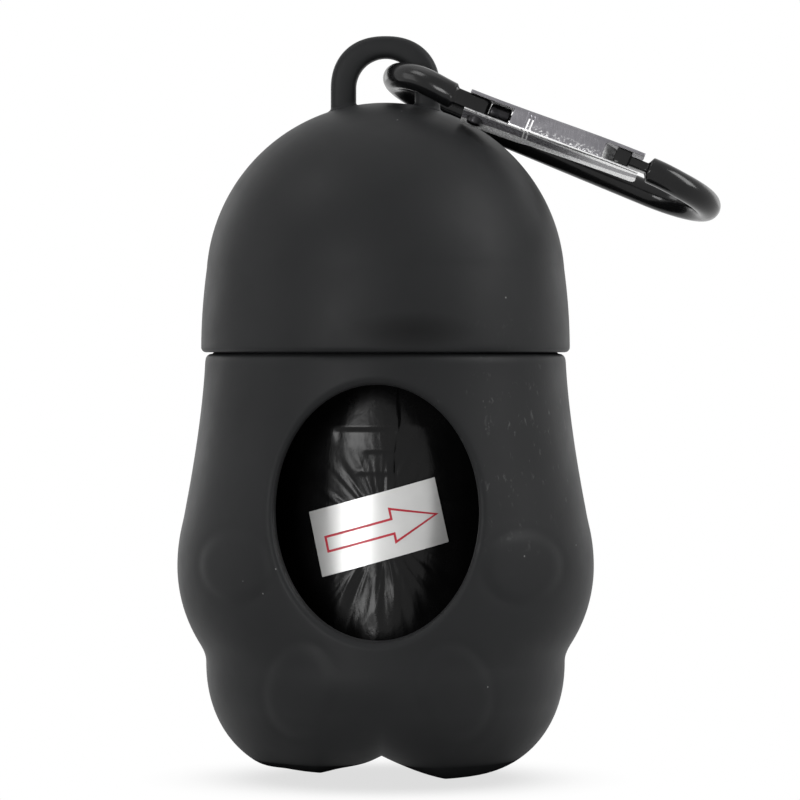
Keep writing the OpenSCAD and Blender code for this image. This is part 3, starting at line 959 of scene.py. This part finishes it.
def build_ring():
    """Wire ring: one section carried along the bend, pressed flat into tab and nose."""
    st = []                                  # (x, y, dir_x, dir_y, in-plane half, normal half, power)
    tab_r, tab_t = 1.15, 1.0
    head_x = GX1 - 3.3

    def add(x, y, dx, dy, a, b, p):
        st.append((x, y, dx, dy, a, b, p))

    # hinge tab, from its round end to the left shoulder
    for k in range(9):
        q = PI / 2 * k / 8
        e = max(0.02, math.sin(q))
        add(RIVET_X + tab_r * math.cos(q), -BR, -1, 0, tab_r * e, tab_t * (0.8 + 0.2 * min(1, e * 1.6)), 7.0)
    for x in (10.2, 9.6, 9.0, 8.4, 8.0):
        add(x, -BR, -1, 0, lerp(1.15, 1.3, (10.9 - x) / 2.9), tab_t, 7.0)
    for k in range(1, 9):
        t = k / 8
        s = t * t * (3 - 2 * t)
        add(lerp(8.0, 7.35, t), -BR, -1, 0, lerp(1.3, WR, s), lerp(tab_t, WR, s), lerp(7.0, 2.0, t ** 0.5))
    n = 56
    for k in range(n + 1):
        a = -PI / 2 - PI * k / n
        add(BR + BR * math.cos(a), BR * math.sin(a), math.sin(a), -math.cos(a), WR, WR, 2.0)
    for k in range(1, 24):
        add(lerp(BR, BX, k / 24), BR, 1, 0, WR, WR, 2.0)
    for k in range(n + 1):
        a = PI / 2 - PI * k / n
        add(BX + BR * math.cos(a), BR * math.sin(a), math.sin(a), -math.cos(a), WR, WR, 2.0)
    for x in (32.6, 32.4, 32.2):
        add(x, -BR, -1, 0, WR, WR, 2.0)
    for k in range(1, 9):
        t = k / 8
        s = t * t * (3 - 2 * t)
        add(lerp(32.15, 31.55, t), -BR, -1, 0, lerp(WR, 1.1, s), lerp(WR, 0.6, s), lerp(2.0, 5.0, t))
    for x in (31.2, 30.6, 30.0, head_x + 2.15, head_x + 1.95):
        add(x, -BR, -1, 0, 1.1, 0.6, 5.0)
    add(head_x + 1.85, -BR, -1, 0, 1.3, 0.92, 7.0)
    add(head_x + 1.7, -BR, -1, 0, 1.43, 1.0, 8.0)
    add(head_x + 0.9, -BR, -1, 0, 1.45, 1.0, 8.0)
    add(head_x + 0.25, -BR, -1, 0, 1.42, 1.0, 8.0)
    add(head_x + 0.08, -BR, -1, 0, 1.33, 0.92, 7.0)
    add(head_x, -BR, -1, 0, 1.1, 0.75, 6.0)
    ns = 40
    verts, faces, lines = [], [], []
    for x, y, dx, dy, a, b, p in st:
        ln = math.hypot(dx, dy)
        dx, dy = dx / ln, dy / ln
        ox, oy = -dy, dx                      # in-plane side direction
        line = []
        for k in range(ns):
            t = 2 * PI * (k + 0.5) / ns
            c, s = math.cos(t), math.sin(t)
            e = 2.0 / p
            u = a * math.copysign(abs(c) ** e, c)
            v = b * math.copysign(abs(s) ** e, s)
            line.append(len(verts))
            verts.append(hook((x + ox * u, y + oy * u, v)))
        lines.append(line)
    for l0, l1 in zip(lines, lines[1:]):
        for k in range(ns):
            m = (k + 1) % ns
            faces.append((l0[k], l0[m], l1[m], l1[k]))
    faces.append(tuple(lines[0]))
    faces.append(tuple(reversed(lines[-1])))
    return add_mesh("hook_ring", verts, faces, WIRE, "hook", ("carabiner_frame",), smooth=38)


def apply_modifiers(ob, smooth=35):
    dg = bpy.context.evaluated_depsgraph_get()
    me = bpy.data.meshes.new_from_object(ob.evaluated_get(dg), preserve_all_data_layers=True, depsgraph=dg)
    ob.modifiers.clear()
    ob.data = me
    for p in me.polygons:
        p.use_smooth = True
    me.set_sharp_from_angle(angle=math.radians(smooth))
    return ob


def build_gate():
    """Folded sheet channel: web on the outer side, two walls, an open window at each end."""
    t = 0.28
    z_web, z_up, z_splay = -1.12, 1.26, (-2.2, -1.5)
    yw, y_free = -8.85 + t / 2, -4.65
    fr = 0.3
    cross = []                                # (y, z, share of the lower wall's splay)
    nw = 10
    for k in range(nw + 1):
        cross.append((lerp(y_free, yw + fr, k / nw), z_web, 1 - k / nw))
    for k in range(1, 7):
        a = PI / 2 * k / 6
        cross.append((yw + fr * (1 - math.sin(a)), z_web + fr * (1 - math.cos(a)), 0))
    nz = 14
    for k in range(1, nz):
        cross.append((yw, lerp(z_web + fr, z_up - fr, k / nz), 0))
    for k in range(0, 6):
        a = PI / 2 * (1 - k / 5)
        cross.append((yw + fr * (1 - math.sin(a)), z_up - fr * (1 - math.cos(a)), 0))
    for k in range(1, nw + 1):
        cross.append((lerp(yw + fr, y_free, k / nw), z_up, 0))
    ends = (14.8, 26.2)
    marks = (16.85, 17.3)
    xs = [GX0 + (GX1 - GX0) * k / 90 for k in range(91)]
    xs = [x for x in xs if min(abs(x - e) for e in ends) > 0.1 and not 16.5 < x < 17.65] + list(ends)
    xs = sorted(xs + [16.5 + 0.05 * k for k in range(24)])
    verts, faces, idx = [], [], {}
    for i, x in enumerate(xs):
        for j, (y, z, splay) in enumerate(cross):
            z += splay * (lerp(*z_splay, i / (len(xs) - 1)) - z_web)
            dy = 0.0
            if abs(y - yw) < 0.25:            # dimples of the crimp, and a slight dish
                for cx in marks:
                    dy += 0.20 * math.exp(-((x - cx) / 0.09) ** 2) * smoothstep(0.95, 0.45, z)
                dy += 0.03 * (1 - (z / z_up) ** 2)
            xx = x
            if i == 0 or i == len(xs) - 1:    # walls end in rounded corners
                c = max(0.0, (y - (y_free - 0.9)) / 0.9)
                xx += (0.5 if i == 0 else -0.5) * c * c
            idx[i, j] = len(verts)
            verts.append(hook((xx, y + dy, z)))
    nj = len(cross)
    for i in range(len(xs) - 1):
        xm = (xs[i] + xs[i + 1]) / 2
        for j in range(nj - 1):
            zm = (cross[j][1] + cross[j + 1][1]) / 2
            ym = (cross[j][0] + cross[j + 1][0]) / 2
            lim = 1.0
            for end in ends:                  # rounded corners of the windows
                inside = (end - xm) if end < 20 else (xm - end)
                if 0 < inside < 0.35:
                    lim = 1.0 - (0.35 - math.sqrt(max(0.0, 0.35 ** 2 - (0.35 - inside) ** 2)))
            if (xm < ends[0] or xm > ends[1]) and -0.98 < zm < lim and ym < yw + 0.3:
                continue
            faces.append((idx[i, j], idx[i + 1, j], idx[i + 1, j + 1], idx[i, j + 1]))
    # the sheet's cut edges get the painted-highlight steel
    ob = add_mesh("gate_sheet", verts, faces, [STEEL, HIGHLIGHT_STEEL], "gate", ("gate_channel",), smooth=40)
    so = ob.modifiers.new("thick", "SOLIDIFY")
    so.thickness = t * MM
    so.offset = 0.0
    so.material_offset_rim = 1
    be = ob.modifiers.new("edge", "BEVEL")
    be.width = 0.07 * MM
    be.segments = 2
    be.limit_method = "ANGLE"
    be.angle_limit = math.radians(40)
    apply_modifiers(ob, 35)

    # tongue pressed inwards from the edge of the nose's window
    verts, faces = [], []
    n, m = 16, 10
    for i in range(n + 1):
        u = i / n
        x = 26.15 + 1.7 * u
        y = -8.70 + 2.1 * smoothstep(-0.35, 1.15, u)
        for k in range(m + 1):
            z = lerp(-0.86, 0.86, k / m)
            verts.append(hook((x, y + 0.10 * math.sin(9.0 * z) * u, z * (1 - 0.10 * u * u))))
    for i in range(n):
        for k in range(m):
            a = i * (m + 1) + k
            faces.append((a, a + m + 1, a + m + 2, a + 1))
    # the tongue is all painted-highlight steel
    ob = add_mesh("gate_tongue", verts, faces, [HIGHLIGHT_STEEL, HIGHLIGHT_STEEL], "gate", (), smooth=40)
    so = ob.modifiers.new("thick", "SOLIDIFY")
    so.thickness = 0.24 * MM
    so.offset = 0.0
    so.material_offset_rim = 1
    apply_modifiers(ob, 35)


def lathe_on_hook(name, prof, origin, axis, mat, replaces=(), cols=40, body="gate"):
    """prof is (distance along axis, radius); axis is 'x' or 'z' of the hook's own frame."""
    verts, faces, lines = [], [], []
    for d, r in prof:
        line = []
        for j in range(cols):
            a = 2 * PI * j / cols
            if axis == "x":
                p = (origin[0] + d, origin[1] + r * math.cos(a), origin[2] + r * math.sin(a))
            else:
                p = (origin[0] + r * math.cos(a), origin[1] + r * math.sin(a), origin[2] + d)
            line.append(len(verts))
            verts.append(hook(p))
        lines.append(line)
    for l0, l1 in zip(lines, lines[1:]):
        for j in range(cols):
            k = (j + 1) % cols
            faces.append((l0[j], l0[k], l1[k], l1[j]))
    faces.append(tuple(lines[0]))
    faces.append(tuple(reversed(lines[-1])))
    return add_mesh(name, verts, faces, mat, body, replaces, smooth=35)


def build_small():
    prof = [(-2.35, 0.25), (-2.32, 0.50), (-2.23, 0.76), (-2.09, 0.86), (-1.85, 0.9), (-1.1, 0.9), (-1.08, 0.5),
            (1.2, 0.5), (1.22, 0.8), (1.46, 0.8), (1.5, 0.7), (1.52, 0.3)]
    lathe_on_hook("gate_pin", prof, (RIVET_X, -BR, 0), "z", NEAR_BLACK_STEEL, ("gate_rivet",))
    px = RIVET_X + 1.15 + 0.05
    prof = [(0, 0.7), (0.08, 0.86), (0.22, 0.94), (0.4, 0.95), (2.25, 0.95), (2.4, 0.92), (2.5, 0.82),
            (2.5, 0.34), (3.1, 0.32), (3.26, 0.26), (3.3, 0.12)]
    lathe_on_hook("gate_follower", prof, (px, -BR, 0), "x", NEAR_BLACK_STEEL, ("gate_plunger",))
    # return spring: one unbroken coil of round wire
    sx = px + 2.5
    turns, pitch, wr, cr = 3, 0.63, 0.14, 0.6
    per, ns = 36, 12
    slope = math.atan2(pitch, 2 * PI * cr)
    verts, faces, lines = [], [], []
    for i in range(turns * per + 1):
        a = 2 * PI * i / per
        c = Vector((sx + wr + pitch * i / per, -BR + cr * math.cos(a), cr * math.sin(a)))
        out = Vector((0, math.cos(a), math.sin(a)))
        up = Vector((math.cos(slope), math.sin(slope) * math.sin(a), -math.sin(slope) * math.cos(a)))
        line = []
        for k in range(ns):
            b = 2 * PI * k / ns
            line.append(len(verts))
            verts.append(hook(c + wr * (math.cos(b) * out + math.sin(b) * up)))
        lines.append(line)
    for l0, l1 in zip(lines, lines[1:]):
        for k in range(ns):
            m = (k + 1) % ns
            faces.append((l0[k], l0[m], l1[m], l1[k]))
    faces.append(tuple(lines[0]))
    faces.append(tuple(reversed(lines[-1])))
    add_mesh("gate_coil", verts, faces, STEEL, "gate", ("gate_spring",), smooth=60)


build_body()
build_cap()
build_eye()
build_roll()
build_label()
build_ring()
build_gate()
build_small()
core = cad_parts["roll_core"]
core.data.materials.clear()
core.data.materials.append(CARD)


# ------------------------------------------------------- floor and light

def white_stage():
    """Pale floor that the camera and mirrors see as white, greyed near the object by a painted contact shadow."""
    m = bpy.data.materials.new("floor_white")
    m.use_nodes = True
    nt = m.node_tree
    for n in list(nt.nodes):
        nt.nodes.remove(n)
    out = nt.nodes.new("ShaderNodeOutputMaterial")
    dif = nt.nodes.new("ShaderNodeBsdfDiffuse")
    dif.inputs["Color"].default_value = (0.6, 0.6, 0.6, 1)
    em = nt.nodes.new("ShaderNodeEmission")
    em.inputs["Color"].default_value = (1, 1, 1, 1)
    em.inputs["Strength"].default_value = 1.0
    # painted shadow: occlusion near the object darkens the floor's white glow
    near = nt.nodes.new("ShaderNodeAmbientOcclusion")
    near.inputs["Distance"].default_value = 0.012
    near.samples = 8
    painted_contact_shadow = ramp(nt, near.outputs["AO"], [(0.2, (0.72,) * 3), (0.7, (0.96,) * 3), (0.95, (1,) * 3)])
    nt.links.new(painted_contact_shadow, em.inputs["Color"])
    lp = nt.nodes.new("ShaderNodeLightPath")
    some = math_node(nt, "MAXIMUM", lp.outputs["Is Camera Ray"], lp.outputs["Is Transmission Ray"])
    seen = math_node(nt, "MAXIMUM", some, lp.outputs["Is Glossy Ray"])
    mix = nt.nodes.new("ShaderNodeMixShader")
    nt.links.new(seen, mix.inputs[0])
    nt.links.new(dif.outputs[0], mix.inputs[1])
    nt.links.new(em.outputs[0], mix.inputs[2])
    nt.links.new(mix.outputs[0], out.inputs[0])
    return m


def build_stage():
    me = bpy.data.meshes.new("floor")
    s = 3.0
    z = -EYE_Z * MM - 0.0005
    me.from_pydata([(-s, -s, z), (s, -s, z), (s, s, z), (-s, s, z)], [], [(0, 1, 2, 3)])
    me.materials.append(white_stage())
    ob = bpy.data.objects.new("floor", me)
    scene.collection.objects.link(ob)


def area(name, loc, aim, w, h, power, color=(1, 1, 1)):
    li = bpy.data.lights.new(name, "AREA")
    li.shape = "RECTANGLE"
    li.size, li.size_y = w, h
    li.energy = power
    li.color = color
    ob = bpy.data.objects.new(name, li)
    scene.collection.objects.link(ob)
    ob.location = loc
    ob.rotation_euler = (Vector(aim) - Vector(loc)).to_track_quat("-Z", "Y").to_euler()
    return ob


def build_light():
    w = bpy.data.worlds.new("studio")
    scene.world = w
    w.use_nodes = True
    nt = w.node_tree
    for n in list(nt.nodes):
        nt.nodes.remove(n)
    out = nt.nodes.new("ShaderNodeOutputWorld")
    a = nt.nodes.new("ShaderNodeBackground")
    a.inputs["Color"].default_value = (1, 1, 1, 1)
    a.inputs["Strength"].default_value = 0.10
    b = nt.nodes.new("ShaderNodeBackground")
    b.inputs["Color"].default_value = (1, 1, 1, 1)
    b.inputs["Strength"].default_value = 1.0
    lp = nt.nodes.new("ShaderNodeLightPath")
    some = math_node(nt, "MAXIMUM", lp.outputs["Is Camera Ray"], lp.outputs["Is Transmission Ray"])
    seen = math_node(nt, "MAXIMUM", some, lp.outputs["Is Glossy Ray"])
    mix = nt.nodes.new("ShaderNodeMixShader")
    nt.links.new(seen, mix.inputs[0])
    nt.links.new(a.outputs[0], mix.inputs[1])
    nt.links.new(b.outputs[0], mix.inputs[2])
    nt.links.new(mix.outputs[0], out.inputs[0])
    mid = (0, 0, -0.04)
    area("box_left", (-0.31, -0.685, 0.0), mid, 0.30, 0.29, 3.0)
    area("side_left", (-0.74, -0.12, 0.05), mid, 0.30, 0.60, 1.0)
    area("box_right", (0.71, -0.22, 0.37), mid, 0.30, 0.60, 5.2)
    area("box_top", (-0.05, 0.10, 0.75), mid, 0.5, 0.5, 0.5)
    area("top_left", (-0.45, -0.20, 0.60), mid, 0.30, 0.30, 1.4)
    area("rim_left", (-0.50, 0.62, 0.0), mid, 0.30, 0.7, 0.7)
    area("rim_right", (0.50, 0.62, 0.0), mid, 0.30, 0.7, 0.45)


def build_camera():
    cam = bpy.data.cameras.new("camera")
    ob = bpy.data.objects.new("camera", cam)
    scene.collection.objects.link(ob)
    scene.camera = ob
    turn = math.radians(2.8)
    d = 0.5
    z = (50.0 - EYE_Z) * MM
    ob.location = (d * math.sin(turn), -d * math.cos(turn), z)
    ob.rotation_euler = (math.radians(90), 0, turn)
    cam.sensor_width = 36.0
    cam.lens = 8.41 * 500.0 / 800.0 * 36.0
    cam.shift_x = 14.5 / 800.0
    cam.shift_y = -46.4 / 800.0
    cam.clip_start = 0.01
    cam.clip_end = 20.0
    cam.dof.use_dof = False


build_stage()
build_light()
build_camera()
scene.view_settings.view_transform = "Standard"
